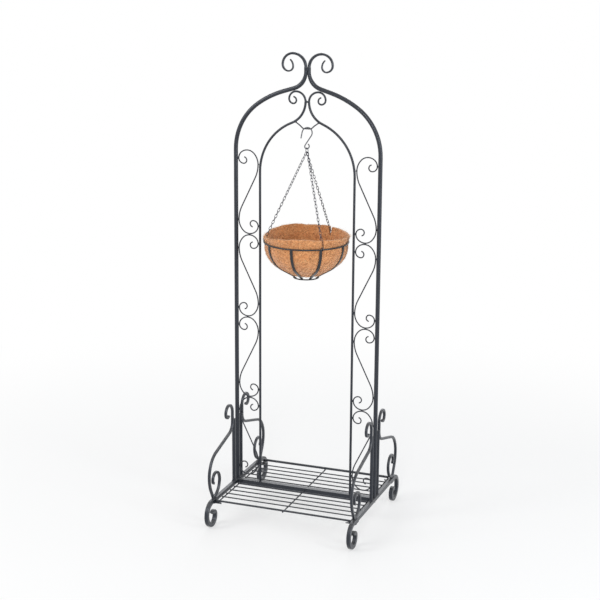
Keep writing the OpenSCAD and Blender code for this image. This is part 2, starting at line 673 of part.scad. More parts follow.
outer_arch(true);  // outer_arch_left
outer_arch(false);  // outer_arch_right
inner_arch(true);  // inner_arch_left
inner_arch(false);  // inner_arch_right
scroll(true, 1);  // scroll_left_1
scroll(true, 2);  // scroll_left_2
scroll(true, 3);  // scroll_left_3
scroll(true, 4);  // scroll_left_4
scroll(false, 1);  // scroll_right_1
scroll(false, 2);  // scroll_right_2
scroll(false, 3);  // scroll_right_3
scroll(false, 4);  // scroll_right_4
scroll_tabs();
arch_welds();
hanger_wire();
crossbar();
side_rail(true);  // side_rail_left
side_rail(false);  // side_rail_right
upright(true, false);  // upright_left_front
upright(true, true);  // upright_left_rear
upright(false, false);  // upright_right_front
upright(false, true);  // upright_right_rear
brace(true, false);  // brace_left_front
brace(true, true);  // brace_left_rear
brace(false, false);  // brace_right_front
brace(false, true);  // brace_right_rear
rail_scroll(true, false);  // rail_scroll_left_front
rail_scroll(true, true);  // rail_scroll_left_rear
rail_scroll(false, false);  // rail_scroll_right_front
rail_scroll(false, true);  // rail_scroll_right_rear
post_bolts();
shelf_front_rail();
shelf_rear_rail();
shelf_side_bars(true);  // shelf_side_bars_left
shelf_side_bars(false);  // shelf_side_bars_right
shelf_slats(-1);  // shelf_slats_front
shelf_slats(1);  // shelf_slats_rear
shelf_middle_bars();
corner_plates();
corner_bolts();
s_hook();
gather_ring();
chain(chain_front_az, -1);  // chain_front
chain(chain_left_az, 1);  // chain_left
chain(chain_right_az, 0);  // chain_right
basket_ring();
basket_ribs();
basket_base_ring();
coir_liner();
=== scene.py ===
# %% [markdown]
# # A hanging plant stand
# The real stand is a small garden arch: a double arch of bent tube and rod with scrolled sides,
# a wire shelf between two curled side rails, and a wire basket that hangs on three chains from an
# S-hook. The metalwork arrives here from CAD at its real size. This notebook gives it a camera, soft
# lamps, a painted finish that shows grain and wear, small beads of weld, and the coir liner, which is
# soft and hairy, so that CAD holds only a plain one.

# %% Load the stand
import json
import math
import random

import bmesh
import bpy
from mathutils import Matrix, Vector
from mathutils.bvhtree import BVHTree


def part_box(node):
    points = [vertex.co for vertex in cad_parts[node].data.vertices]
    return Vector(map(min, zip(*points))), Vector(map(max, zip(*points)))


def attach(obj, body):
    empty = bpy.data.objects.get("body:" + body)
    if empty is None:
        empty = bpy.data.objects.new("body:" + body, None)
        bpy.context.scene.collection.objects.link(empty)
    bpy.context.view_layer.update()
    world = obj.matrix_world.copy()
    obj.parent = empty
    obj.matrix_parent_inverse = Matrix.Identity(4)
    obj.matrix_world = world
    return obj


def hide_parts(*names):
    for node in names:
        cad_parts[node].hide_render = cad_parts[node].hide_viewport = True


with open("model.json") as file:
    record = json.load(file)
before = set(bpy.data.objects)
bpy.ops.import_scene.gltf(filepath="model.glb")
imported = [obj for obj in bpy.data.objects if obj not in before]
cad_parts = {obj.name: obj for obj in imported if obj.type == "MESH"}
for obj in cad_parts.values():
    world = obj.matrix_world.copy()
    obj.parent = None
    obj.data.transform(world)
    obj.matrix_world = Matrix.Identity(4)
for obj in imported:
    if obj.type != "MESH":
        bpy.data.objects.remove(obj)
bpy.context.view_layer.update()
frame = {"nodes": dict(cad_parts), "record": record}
stand = frame["nodes"]


def leave_all():
    """Deselects everything, because an operator acts on all that is selected."""
    if bpy.context.object and bpy.context.object.mode != "OBJECT":
        bpy.ops.object.mode_set(mode="OBJECT")
    bpy.ops.object.select_all(action="DESELECT")


# %% [markdown]
# ## The camera
# A product photo of something tall is taken from a few metres away with a long lens, from a little
# above, so that the shelf opens up without the posts leaning. The place and the lens below come from
# lining up the posts, the feet and the basket's ring with the picture.

# %% Place the camera
PICTURE_WIDTH = 600
SENSOR_MM = 36
FOCAL_PIXELS = 1470.0
camera_place = Vector((1.746, -4.702, 2.084))
camera_turn = math.radians(20.61)
camera_pitch = math.radians(14.34)
camera_roll = math.radians(0.34)

bpy.ops.object.camera_add()
camera = bpy.context.object
camera.name = "camera"
camera.data.sensor_width = SENSOR_MM
camera.data.lens = FOCAL_PIXELS / PICTURE_WIDTH * SENSOR_MM
camera.data.clip_end = 60
camera.matrix_world = (
    Matrix.Translation(camera_place)
    @ Matrix.Rotation(camera_turn, 4, "Z")
    @ Matrix.Rotation(math.pi / 2 - camera_pitch, 4, "X")
    @ Matrix.Rotation(camera_roll, 4, "Z")
)
bpy.context.scene.camera = camera
print("lens", round(camera.data.lens, 1), "mm")

# %% [markdown]
# ## The studio
# The photo shows the stand cut out on white. A big pale floor is used instead, which keeps a soft
# shadow under the feet and fades into a white backdrop with distance. Near the stand the floor is
# half that white already, so the shadow stays faint. The white costs no light on the stand: the
# world and the floor turn white only for rays from the camera, from gloss and through glass. Tall
# soft lamps at the left, the front and the right run a long highlight down every bar of the dark
# paint, a fourth one behind lights the rims, and an even sky fills the rest.

# %% Node helpers
def add_node(tree, kind, name=None, **settings):
    """Adds a shader node. A setting that isn't one of the node's own names an input socket."""
    node = tree.nodes.new(kind)
    if name:
        node.label = name
    for key, value in settings.items():
        if hasattr(node, key):
            setattr(node, key, value)
        else:
            node.inputs[key.replace("_", " ")].default_value = value
    return node


def seen_ray(tree):
    """A value of 1 for rays that show the backdrop: from the camera, from gloss and through glass."""
    path = add_node(tree, "ShaderNodeLightPath")
    total = path.outputs["Is Camera Ray"]
    for kind in ("Is Glossy Ray", "Is Transmission Ray"):
        either = add_node(tree, "ShaderNodeMath", operation="MAXIMUM")
        tree.links.new(total, either.inputs[0])
        tree.links.new(path.outputs[kind], either.inputs[1])
        total = either.outputs[0]
    return total


# %% Light the world
SKY_LIGHT = 0.56
COOL_WHITE = (0.97, 0.985, 1)
world = bpy.data.worlds.new("studio")
bpy.context.scene.world = world
world.use_nodes = True
sky = world.node_tree
sky.nodes.clear()
even = add_node(sky, "ShaderNodeBackground", "even light", Color=(*COOL_WHITE, 1), Strength=SKY_LIGHT)
white = add_node(sky, "ShaderNodeBackground", "white backdrop", Color=(1, 1, 1, 1), Strength=1.0)
either = add_node(sky, "ShaderNodeMixShader")
sky.links.new(seen_ray(sky), either.inputs[0])
sky.links.new(even.outputs[0], either.inputs[1])
sky.links.new(white.outputs[0], either.inputs[2])
sky.links.new(either.outputs[0], add_node(sky, "ShaderNodeOutputWorld").inputs[0])
print("even sky", SKY_LIGHT)

# %% Place the lamps
stand_middle = Vector((0, 0, 0.85))


def soft_lamp(name, place, size, watts, tint=(1, 1, 1)):
    """An area lamp that faces the middle of the stand."""
    bpy.ops.object.light_add(type="AREA", location=place)
    lamp = bpy.context.object
    lamp.name = name
    lamp.data.shape = "RECTANGLE"
    lamp.data.size, lamp.data.size_y = size
    lamp.data.energy = watts
    lamp.data.color = tint
    lamp.rotation_euler = (stand_middle - Vector(place)).to_track_quat("-Z", "Y").to_euler()
    print(name, watts, "W")


soft_lamp("window_lamp", (-3.0, -3.0, 3.0), (1.4, 2.4), 72, (1, 0.99, 0.97))
soft_lamp("front_lamp", (1.3, -5.4, 2.9), (0.8, 2.2), 79)
soft_lamp("side_lamp", (3.6, -1.2, 1.6), (0.8, 2.6), 53, (0.93, 0.97, 1))
soft_lamp("back_lamp", (-1.2, 3.8, 2.8), (2.4, 1.6), 40, COOL_WHITE)

# %% Lay the floor
FLOOR_REACH = 9.0
leave_all()
bpy.ops.mesh.primitive_circle_add(vertices=96, radius=FLOOR_REACH, fill_type="NGON", location=(0, 0, 0))
floor = bpy.context.object
floor.name = "floor"
print("floor", FLOOR_REACH, "m to its rim")

# %% Finish the floor
CHALK = (0.94, 0.94, 0.94, 1)
NEAR_WHITE = 0.5
WHITENS_FROM, WHITE_BY = 0.75, 2.6
floor_finish = bpy.data.materials.new("floor")
floor_finish.use_nodes = True
tree = floor_finish.node_tree
tree.nodes.clear()
chalk = add_node(tree, "ShaderNodeBsdfDiffuse", "chalk", Color=CHALK)
glow = add_node(tree, "ShaderNodeEmission", "white distance", Color=(1, 1, 1, 1), Strength=1.0)
place = add_node(tree, "ShaderNodeTexCoord")
distance = add_node(tree, "ShaderNodeVectorMath", operation="LENGTH")
fade = add_node(tree, "ShaderNodeMapRange", interpolation_type="SMOOTHSTEP", To_Min=NEAR_WHITE)
fade.inputs["From Min"].default_value = WHITENS_FROM
fade.inputs["From Max"].default_value = WHITE_BY
shown = add_node(tree, "ShaderNodeMath", operation="MULTIPLY")
mix = add_node(tree, "ShaderNodeMixShader")
tree.links.new(place.outputs["Object"], distance.inputs[0])
tree.links.new(distance.outputs["Value"], fade.inputs["Value"])
tree.links.new(fade.outputs[0], shown.inputs[0])
tree.links.new(seen_ray(tree), shown.inputs[1])
tree.links.new(shown.outputs[0], mix.inputs[0])
tree.links.new(chalk.outputs[0], mix.inputs[1])
tree.links.new(glow.outputs[0], mix.inputs[2])
tree.links.new(mix.outputs[0], add_node(tree, "ShaderNodeOutputMaterial").inputs[0])
floor.data.materials.append(floor_finish)
bpy.context.scene.view_settings.view_transform = "Standard"
print("floor turns white from", WHITENS_FROM, "to", WHITE_BY, "m out")

# %% [markdown]
# ## Effects that several finishes share
# Grain, worn edges and settled dust turn up on more than one finish, so each is a node group with
# its own inputs, built once. A group gives out only masks and heights. The shader that
# uses them stays in the material, where its plain numbers are easy to find.

# %% Group helper
def new_group(name, inputs, outputs):
    """A shader node group with float sockets. inputs maps each name to its default."""
    group = bpy.data.node_groups.new(name, "ShaderNodeTree")
    for key, value in inputs.items():
        socket = group.interface.new_socket(name=key, in_out="INPUT", socket_type="NodeSocketFloat")
        socket.default_value = value
    for key in outputs:
        group.interface.new_socket(name=key, in_out="OUTPUT", socket_type="NodeSocketFloat")
    return group, group.nodes.new("NodeGroupInput"), group.nodes.new("NodeGroupOutput")


def use_group(tree, group, **inputs):
    """Puts a group into a material and sets some of its inputs."""
    node = tree.nodes.new("ShaderNodeGroup")
    node.node_tree = group
    for key, value in inputs.items():
        node.inputs[key.replace("_", " ")].default_value = value
    return node


# %% [markdown]
# ### Grain
# Powder coat is never quite smooth: it dries with a fine orange peel, under a millimetre across,
# and its tone drifts a little along a bar. Two noises give both, one fine and one broad.

# %% Powder grain
grain_inputs = {"Grains per metre": 1300.0, "Patches per metre": 22.0}
powder_grain, given, found = new_group("powder_grain", grain_inputs, ("Height", "Tone"))
place = add_node(powder_grain, "ShaderNodeTexCoord")
peel = add_node(powder_grain, "ShaderNodeTexNoise", "orange peel", Detail=2.0, Roughness=0.6)
drift = add_node(powder_grain, "ShaderNodeTexNoise", "drift", Detail=5.0, Roughness=0.62)
powder_grain.links.new(place.outputs["Object"], peel.inputs["Vector"])
powder_grain.links.new(place.outputs["Object"], drift.inputs["Vector"])
powder_grain.links.new(given.outputs["Grains per metre"], peel.inputs["Scale"])
powder_grain.links.new(given.outputs["Patches per metre"], drift.inputs["Scale"])
powder_grain.links.new(peel.outputs[0], found.inputs["Height"])
powder_grain.links.new(drift.outputs[0], found.inputs["Tone"])
print("powder grain", grain_inputs)

# %% [markdown]
# ### Worn edges
# Paint is thinnest on edges and rubs through there first. The Bevel node looks a little way round
# each point: where the rounded normal differs from the true one there is an edge. Noise breaks the
# line up, because wear is never even.

# %% Edge wear
wear_inputs = {"Width": 0.0015, "Amount": 0.5, "Breaks per metre": 160.0}
edge_wear, given, found = new_group("edge_wear", wear_inputs, ("Wear",))
place = add_node(edge_wear, "ShaderNodeTexCoord")
rounded = add_node(edge_wear, "ShaderNodeBevel", samples=4)
true_normal = add_node(edge_wear, "ShaderNodeNewGeometry")
alike = add_node(edge_wear, "ShaderNodeVectorMath", operation="DOT_PRODUCT")
edge = add_node(edge_wear, "ShaderNodeMapRange", "edge", From_Min=0.975, From_Max=0.84)
breaks = add_node(edge_wear, "ShaderNodeTexNoise", "breaks", Detail=4.0, Roughness=0.7)
patchy = add_node(edge_wear, "ShaderNodeMapRange", "patchy", From_Min=0.36, From_Max=0.64)
worn = add_node(edge_wear, "ShaderNodeMath", operation="MULTIPLY")
scaled = add_node(edge_wear, "ShaderNodeMath", operation="MULTIPLY")
edge_wear.links.new(given.outputs["Width"], rounded.inputs["Radius"])
edge_wear.links.new(rounded.outputs[0], alike.inputs[0])
edge_wear.links.new(true_normal.outputs["Normal"], alike.inputs[1])
edge_wear.links.new(alike.outputs["Value"], edge.inputs["Value"])
edge_wear.links.new(place.outputs["Object"], breaks.inputs["Vector"])
edge_wear.links.new(given.outputs["Breaks per metre"], breaks.inputs["Scale"])
edge_wear.links.new(breaks.outputs[0], patchy.inputs["Value"])
edge_wear.links.new(edge.outputs[0], worn.inputs[0])
edge_wear.links.new(patchy.outputs[0], worn.inputs[1])
edge_wear.links.new(worn.outputs[0], scaled.inputs[0])
edge_wear.links.new(given.outputs["Amount"], scaled.inputs[1])
edge_wear.links.new(scaled.outputs[0], found.inputs["Wear"])
print("edge wear", wear_inputs)

# %% [markdown]
# ### Settled dust
# A garden stand gathers dust on what faces up. The surface's own normal says how far up it faces,
# and a broad noise keeps the film uneven.

# %% Dust
dust_inputs = {"Amount": 0.3, "Patches per metre": 60.0}
settled_dust, given, found = new_group("settled_dust", dust_inputs, ("Dust",))
place = add_node(settled_dust, "ShaderNodeTexCoord")
true_normal = add_node(settled_dust, "ShaderNodeNewGeometry")
upward = add_node(settled_dust, "ShaderNodeSeparateXYZ")
level = add_node(settled_dust, "ShaderNodeMapRange", "level enough", From_Min=0.35, From_Max=1.0)
film = add_node(settled_dust, "ShaderNodeTexNoise", "film", Detail=6.0, Roughness=0.65)
uneven = add_node(settled_dust, "ShaderNodeMapRange", "uneven", From_Min=0.35, From_Max=0.7)
lying = add_node(settled_dust, "ShaderNodeMath", operation="MULTIPLY")
scaled = add_node(settled_dust, "ShaderNodeMath", operation="MULTIPLY")
settled_dust.links.new(true_normal.outputs["Normal"], upward.inputs[0])
settled_dust.links.new(upward.outputs["Z"], level.inputs["Value"])
settled_dust.links.new(place.outputs["Object"], film.inputs["Vector"])
settled_dust.links.new(given.outputs["Patches per metre"], film.inputs["Scale"])
settled_dust.links.new(film.outputs[0], uneven.inputs["Value"])
settled_dust.links.new(level.outputs[0], lying.inputs[0])
settled_dust.links.new(uneven.outputs[0], lying.inputs[1])
settled_dust.links.new(lying.outputs[0], scaled.inputs[0])
settled_dust.links.new(given.outputs["Amount"], scaled.inputs[1])
settled_dust.links.new(scaled.outputs[0], found.inputs["Dust"])
print("settled dust", dust_inputs)


# %% [markdown]
# ## Finishes
# Each finish starts from a dark or light base, mixes in its second colour with a mask from the
# groups above, and bends the roughness the same way: dust is dull, rubbed metal shines.

# %% Finish helpers
def new_finish(name, **shader):
    """A material with a Principled shader. Its plain numbers are set on the shader's own sockets."""
    finish = bpy.data.materials.new(name)
    finish.use_nodes = True
    tree = finish.node_tree
    skin = tree.nodes["Principled BSDF"]
    for key, value in shader.items():
        skin.inputs[key.replace("_", " ")].default_value = value
    return finish, tree, skin


def tint(tree, mask, plain, other):
    """Mixes a colour towards another where the mask is high. plain may be a colour or a socket."""
    blend = add_node(tree, "ShaderNodeMix", data_type="RGBA")
    tree.links.new(mask, blend.inputs[0])
    for socket, colour in ((blend.inputs[6], plain), (blend.inputs[7], other)):
        if isinstance(colour, tuple):
            socket.default_value = (*colour, 1)
        else:
            tree.links.new(colour, socket)
    return blend.outputs[2]


def shift(tree, mask, low, high):
    """Maps a mask from 0..1 to low..high."""
    ramp = add_node(tree, "ShaderNodeMapRange", To_Min=low, To_Max=high)
    tree.links.new(mask, ramp.inputs["Value"])
    return ramp.outputs[0]


def raise_grain(tree, skin, height, depth, strength=1.0):
    """Turns a height into a bump of that depth, in metres, on the shader."""
    bump = add_node(tree, "ShaderNodeBump", Distance=depth, Strength=strength)
    tree.links.new(height, bump.inputs["Height"])
    tree.links.new(bump.outputs[0], skin.inputs["Normal"])


# %% [markdown]
# ### Powder-coated metal
# The frame is a satin charcoal that leans to blue in the light. Its rubbed edges show a paler grey
# primer rather than bright steel. The basket's wires are black with a faint brown, a painted
# reflection of the coir, and the hook is a bought part in a paler grey. One function makes all three,
# so that they wear and gather dust alike.

# %% Frame paint
COOL_GLOSS = (0.86, 0.9, 1, 1)
DUST = (0.36, 0.35, 0.33)
DUST_DULLS = 0.5
PALER_BY = 1.45
PEEL_DEPTH = 0.00018


def painted_metal(name, colour, edge_colour, wear, dust, gloss=0.29):
    """Dark paint with a broad drift of tone, rubbed edges and dust on what faces up."""
    finish, tree, skin = new_finish(name, Metallic=0.0, Specular_IOR_Level=0.5, Specular_Tint=COOL_GLOSS)
    grain = use_group(tree, powder_grain)
    edges = use_group(tree, edge_wear, Amount=wear)
    film = use_group(tree, settled_dust, Amount=dust)
    paler = tuple(PALER_BY * part for part in colour)
    drifted = tint(tree, shift(tree, grain.outputs["Tone"], -0.6, 1.6), colour, paler)
    rubbed = tint(tree, edges.outputs["Wear"], drifted, edge_colour)
    dusty = tint(tree, film.outputs["Dust"], rubbed, DUST)
    tree.links.new(dusty, skin.inputs["Base Color"])
    dull = add_node(tree, "ShaderNodeMath", operation="MULTIPLY_ADD")
    dull.inputs[1].default_value = DUST_DULLS
    tree.links.new(film.outputs["Dust"], dull.inputs[0])
    tree.links.new(shift(tree, grain.outputs["Tone"], gloss - 0.04, gloss + 0.08), dull.inputs[2])
    tree.links.new(dull.outputs[0], skin.inputs["Roughness"])
    raise_grain(tree, skin, grain.outputs["Height"], PEEL_DEPTH, 0.6)
    print(name, "gloss", gloss)
    return finish


PRIMER, RUBBED_STEEL = (0.15, 0.158, 0.172), (0.3, 0.3, 0.31)
# The basket's black has a faint brown tint, a painted reflection of the coir.
BLUE_BLACK, BLACK_WITH_COIR_REFLECTION, HOOK_GREY = (0.012, 0.0138, 0.0178), (0.0125, 0.0115, 0.011), (0.06, 0.062, 0.068)
frame_paint = painted_metal("frame_paint", BLUE_BLACK, PRIMER, wear=0.8, dust=0.26)
basket_paint = painted_metal("basket_paint", BLACK_WITH_COIR_REFLECTION, PRIMER, wear=0.8, dust=0.16, gloss=0.3)
hook_paint = painted_metal("hook_paint", HOOK_GREY, RUBBED_STEEL, wear=0.5, dust=0.12)


# %% [markdown]
# ### Chain and bolts
# The chains are blackened steel and the bolts are zinc plated. Both go dull and blotchy outdoors.
# The blotches are a noise that darkens and roughens the metal, and dirt settles on what faces up.

# %% Plated steel
DIRT = (0.3, 0.29, 0.27)
PLATE_GRAIN = 0.00012


def plated_steel(name, bright, tarnish, dust, rough=0.32):
    """Dull plate with tarnished blotches and dirt on what faces up."""
    finish, tree, skin = new_finish(name, Metallic=1.0)
    grain = use_group(tree, powder_grain, Grains_per_metre=1400.0, Patches_per_metre=160.0)
    film = use_group(tree, settled_dust, Amount=dust, Patches_per_metre=200.0)
    blotched = tint(tree, shift(tree, grain.outputs["Tone"], -0.9, 1.9), bright, tarnish)
    dusty = tint(tree, film.outputs["Dust"], blotched, DIRT)
    tree.links.new(dusty, skin.inputs["Base Color"])
    tree.links.new(shift(tree, grain.outputs["Tone"], rough - 0.1, rough + 0.25), skin.inputs["Roughness"])
    raise_grain(tree, skin, grain.outputs["Height"], PLATE_GRAIN, 0.4)
    print(name, "roughness about", rough)
    return finish


BLACKENED, BLACKENED_DEEP = (0.13, 0.135, 0.16), (0.035, 0.036, 0.045)
ZINC, ZINC_TARNISH = (0.22, 0.22, 0.24), (0.07, 0.07, 0.075)
chain_steel = plated_steel("chain_steel", BLACKENED, BLACKENED_DEEP, dust=0.1)
bolt_steel = plated_steel("bolt_steel", ZINC, ZINC_TARNISH, dust=0.2, rough=0.4)


# %% [markdown]
# ## Dress the metalwork
# The record that comes with the stand names a finish for each piece, such as frame paint for a post.
# A small table turns those names into the materials above. The stiff liner from CAD is hidden behind
# the mat that is made below, so it gets the first paint that is at hand.

# %% Dress the pieces
def dress(name, finish):
    """Gives a CAD node a finish in place of the plain one that it came with."""
    node = stand[name]
    if not node.material_slots:
        node.data.materials.append(finish)
    for slot in node.material_slots:
        slot.material = finish


slots = {row["node"]: row["material_slot"] for row in frame["record"]["subparts"]}
finish_of_slot = {
    "frame_paint": frame_paint,
    "basket_wire": basket_paint,
    "hook_steel": hook_paint,
    "chain_steel": chain_steel,
    "fasteners": bolt_steel,
    "coir": frame_paint,
}
for node_name, slot_name in slots.items():
    dress(node_name, finish_of_slot[slot_name])
print("dressed", len(slots), "nodes")

# %% [markdown]
# ## Weld beads
# The real stand's wires, scrolls and braces are joined by small beads of weld under the paint. Each
# could be sculpted in place, but a welder lays the same drop again and again, so one bead is
# modelled: a sphere pinched into three overlapping drops. A copy goes wherever two pieces of the
# frame come closest, drawn out along the seam and pressed flat across it.

# %% Model one bead
BETWEEN_DROPS = (0.3, 0.5)
PINCH = 0.84
leave_all()
bpy.ops.mesh.primitive_uv_sphere_add(segments=7, ring_count=8, radius=1)
bead = bpy.context.object
bpy.ops.object.mode_set(mode="EDIT")
bpy.ops.mesh.select_mode(type="VERT")
for end in (-1, 1):
    bpy.ops.mesh.select_all(action="DESELECT")
    drops = bmesh.from_edit_mesh(bead.data)
    for vertex in drops.verts:
        vertex.select = BETWEEN_DROPS[0] < vertex.co.z * end < BETWEEN_DROPS[1]
    drops.select_flush_mode()
    bmesh.update_edit_mesh(bead.data)
    bpy.ops.transform.resize(value=(PINCH, PINCH, 1), center_override=(0, 0, 0))
bpy.ops.object.mode_set(mode="OBJECT")
bpy.ops.object.shade_smooth()
print("bead", len(bead.data.polygons), "faces")

# %% Find the seams
SEAM_REACH = 0.0009


def seams(small, carrier, apart):
    """Where two CAD pieces meet: the middle of each spot, and the way out of the carrier there."""
    low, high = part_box(carrier)
    margin = Vector((SEAM_REACH,) * 3)
    low, high = Vector(low) - margin, Vector(high) + margin
    points = [vertex.co.copy() for vertex in stand[small].data.vertices]
    near = [point for point in points if all(low[i] <= point[i] <= high[i] for i in range(3))]
    if not near:
        return []
    wall = stand[carrier].data
    tree = BVHTree.FromPolygons([v.co for v in wall.vertices], [f.vertices for f in wall.polygons])
    touching = []
    for point in near:
        hit, normal, _, distance = tree.find_nearest(point, SEAM_REACH)
        if hit:
            touching.append((distance, point, normal))
    spots = []
    for distance, point, normal in sorted(touching, key=lambda row: row[0]):
        for spot in spots:
            if (spot[0] - point).length < apart:
                spot[1].append(point)
                spot[2].append(normal)
                break
        else:
            spots.append((point, [point], [normal]))
    return [(sum(at, Vector()) / len(at), sum(out, Vector()).normalized()) for _, at, out in spots]


# %% List the welds
SIDES = ("left", "right")
CORNERS = ("left_front", "left_rear", "right_front", "right_rear")
INNER = ("inner_arch_left", "inner_arch_right")
ARCHES = ("outer_arch_left", "outer_arch_right", *INNER)
SHELF_BARS = ("shelf_side_bars_left", "shelf_side_bars_right", "shelf_middle_bars")
SHELF_ENDS = ("shelf_front_rail", "shelf_rear_rail", "crossbar")
# Each row names a piece, what it is welded to, the bead's size and the least way between two beads.
frame_welds = [("shelf_slats_" + end, SHELF_BARS, 0.003, 0.008) for end in ("front", "rear")]
frame_welds += [(bars, SHELF_ENDS, 0.003, 0.009) for bars in SHELF_BARS]
frame_welds += [("crossbar", ("side_rail_left", "side_rail_right"), 0.0036, 0.007)]
frame_welds += [("scroll_tabs", ARCHES, 0.0034, 0.01)]
frame_welds += [("hanger_wire", INNER, 0.0036, 0.01)]
frame_welds += [("arch_welds", ARCHES, 0.0036, 0.009)]
for side in SIDES:
    frame_welds += [(f"scroll_{side}_{i}", (f"scroll_{side}_{i + 1}",), 0.0034, 0.012) for i in range(1, 4)]
for corner in CORNERS:
    rail = "side_rail_" + corner.split("_")[0]
    frame_welds += [
        ("brace_" + corner, (rail, "upright_" + corner), 0.0044, 0.012),
        ("rail_scroll_" + corner, (rail, "brace_" + corner), 0.0042, 0.012),
        ("upright_" + corner, (rail,), 0.004, 0.007),
    ]
basket_welds = [("basket_ribs", ("basket_ring", "basket_base_ring"), 0.0034, 0.02)]
print("welds", len(frame_welds), "rows on the frame,", len(basket_welds), "on the basket")

# %% Lay the beads
PRESSED_FLAT, DRAWN_OUT = 0.75, 1.2
SIZES_VARY = (0.88, 1.12)
FACES_UP = 0.8
lay = random.Random(5)


def lay_beads(name, welds, finish, body):
    """Copies the bead to every seam in a list, joins the copies and hangs them on a body."""
    copies = []
    for small, carriers, size, apart in welds:
        for carrier in carriers:
            for middle, out in seams(small, carrier, apart):
                upright = Vector((0, 0, 1)) if abs(out.z) < FACES_UP else Vector((1, 0, 0))
                along = (upright - out * upright.dot(out)).normalized()
                turn = Matrix((out, along.cross(out), along)).transposed().to_4x4()
                own = size * lay.uniform(*SIZES_VARY)
                one = bead.copy()
                one.data = bead.data.copy()
                bpy.context.scene.collection.objects.link(one)
                one.matrix_world = (
                    Matrix.Translation(middle)
                    @ turn
                    @ Matrix.Rotation(lay.uniform(0, math.pi), 4, "X")
                    @ Matrix.Diagonal((own * PRESSED_FLAT, own, own * DRAWN_OUT, 1))
                )
                copies.append(one)
    leave_all()
    for one in copies:
        one.select_set(True)
    bpy.context.view_layer.objects.active = copies[0]
    bpy.ops.object.join()
    beads = bpy.context.object
    bpy.ops.object.transform_apply(location=True, rotation=True, scale=True)
    beads.name = beads.data.name = name
    beads.data.materials.clear()
    beads.data.materials.append(finish)
    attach(beads, body)
    print(name, len(copies), "beads")


lay_beads("weld_beads_frame", frame_welds, frame_paint, "root")
lay_beads("weld_beads_basket", basket_welds, basket_paint, "basket")
bpy.data.objects.remove(bead)

# %% [markdown]
# ## The coir liner
# A basket liner is a mat of coconut fibre, pressed into a bowl about a finger thick. It bulges
# between the ribs, stands up past the wire ring in a soft uneven collar, and is slit where each
# chain goes down to the ring. It is built as a potter would: a disc for the floor, whose edge is
# drawn up ring by ring on the outside, over the rim, and down the inside. Then it is remeshed, so
# that it has even facets to push about.

# %% Measure the basket
ring_low, ring_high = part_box("basket_ring")
liner_low, liner_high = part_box("coir_liner")
ring_height = (ring_low.z + ring_high.z) / 2
ring_wire = ring_high.z - ring_low.z
ring_radius = ring_high.x - ring_wire / 2
collar_top = liner_high.z
liner_floor = liner_low.z
print("liner", round(liner_floor, 4), "to", round(collar_top, 4), "ring radius", round(ring_radius, 4))

# %% Trace the liner's wall
LINER_THICKNESS = 0.009
RIB_THICKNESS = 0.0025
RIB_BEND_RADIUS = 0.105
RIB_BEND_TURN = math.radians(60)
MAT_GAP = 0.0006
FLOOR_GAP = 0.0008
SLOPE_STEPS, BEND_STEPS = 5, 8
COLLAR_OUT_HALFWAY, COLLAR_OUT_AT_TOP = 0.004, 0.0055
RIM_BELOW_TOP = 0.003


def mat_outline(inset):
    """Radius and height of the liner's wall from its floor to its rim, moved in from its outer face."""
    gap = RIB_THICKNESS / 2 + MAT_GAP + inset
    knee_radius = ring_radius - RIB_BEND_RADIUS * (1 - math.cos(RIB_BEND_TURN))
    knee_height = ring_low.z - RIB_BEND_RADIUS * math.sin(RIB_BEND_TURN)
    floor_height = liner_floor + FLOOR_GAP + inset
    slope = math.tan(RIB_BEND_TURN)
    floor_radius = knee_radius - (knee_height - floor_height + gap / math.sin(RIB_BEND_TURN)) * slope
    wall_radius = ring_radius - ring_wire / 2 - MAT_GAP - inset
    bend_middle = ring_radius - RIB_BEND_RADIUS
    bend = RIB_BEND_RADIUS - gap
    end_radius = bend_middle + bend * math.cos(RIB_BEND_TURN)
    end_height = ring_low.z - bend * math.sin(RIB_BEND_TURN)
    points = [(floor_radius, floor_height)]
    for step in range(1, SLOPE_STEPS):
        share = step / SLOPE_STEPS
        radius = floor_radius + (end_radius - floor_radius) * share
        points.append((radius, floor_height + (end_height - floor_height) * share))
    for step in range(BEND_STEPS):
        angle = RIB_BEND_TURN * (1 - step / BEND_STEPS)
        radius = bend_middle + bend * math.cos(angle)
        points.append((min(radius, wall_radius), ring_low.z - bend * math.sin(angle)))
    points.append((wall_radius, ring_high.z))
    points.append((wall_radius + COLLAR_OUT_HALFWAY, (ring_high.z + collar_top) / 2))
    points.append((wall_radius + COLLAR_OUT_AT_TOP, collar_top - RIM_BELOW_TOP))
    return points


outer_points = mat_outline(0)
inner_points = mat_outline(LINER_THICKNESS)
print("wall", len(outer_points), "points outside,", len(inner_points), "inside")


# %% Draw the bowl up from its floor
ROUND_STEPS = 108


def open_edge():
    """Selects the open edge of the bowl, which is the ring that was drawn last."""
    bpy.ops.mesh.select_all(action="DESELECT")
    bpy.ops.mesh.select_non_manifold(
        extend=False, use_wire=False, use_multi_face=False, use_non_contiguous=False, use_verts=False
    )


leave_all()
first_radius, first_height = outer_points[0]
bpy.ops.mesh.primitive_circle_add(
    vertices=ROUND_STEPS, radius=first_radius, fill_type="NGON", location=(0, 0, first_height)
)
coir_mat = bpy.context.object
coir_mat.name = "coir_mat"
bpy.ops.object.transform_apply(location=True, rotation=False, scale=False)
bpy.ops.object.mode_set(mode="EDIT")
bpy.ops.mesh.select_mode(type="EDGE")
at_radius, at_height = first_radius, first_height
for radius, height in outer_points[1:] + list(reversed(inner_points)):
    open_edge()
    bpy.ops.mesh.extrude_edges_move(TRANSFORM_OT_translate={"value": (0, 0, height - at_height)})
    wider = radius / at_radius
    bpy.ops.transform.resize(value=(wider, wider, 1), center_override=(0, 0, height))
    at_radius, at_height = radius, height
open_edge()
bpy.ops.mesh.edge_face_add()
bpy.ops.mesh.select_all(action="SELECT")
bpy.ops.mesh.normals_make_consistent(inside=False)
bpy.ops.object.mode_set(mode="OBJECT")
print("bowl", len(coir_mat.data.vertices), "points")


